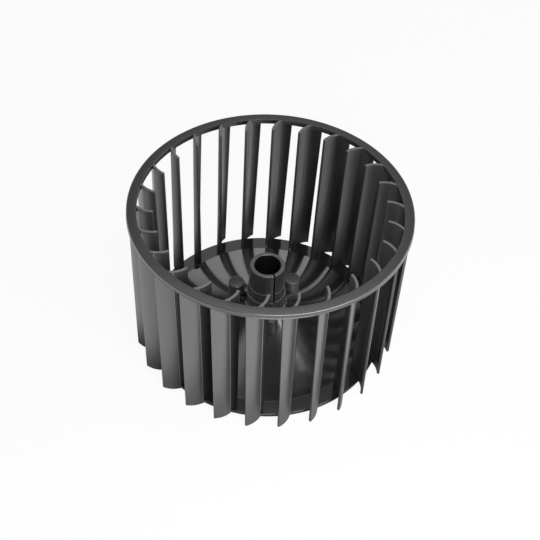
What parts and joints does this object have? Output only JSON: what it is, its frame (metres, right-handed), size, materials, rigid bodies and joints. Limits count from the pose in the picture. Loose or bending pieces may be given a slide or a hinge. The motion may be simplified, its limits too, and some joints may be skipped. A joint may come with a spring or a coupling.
{
  "type": "blower impeller",
  "caption": "Centrifugal blower wheel in black plastic: curved blades between an open ring and a coned back plate with a stepped hub.",
  "frame": {"origin": "on the shaft's axis, level with the feet of the blades", "axes": "+Z along the shaft's axis, from the back plate towards the open ring"},
  "size_m": [0.16, 0.16, 0.1],
  "materials": {
    "black_plastic": "satin"
  },
  "bodies": {
    "root": {"impeller": "black_plastic"}
  },
  "joints": []
}
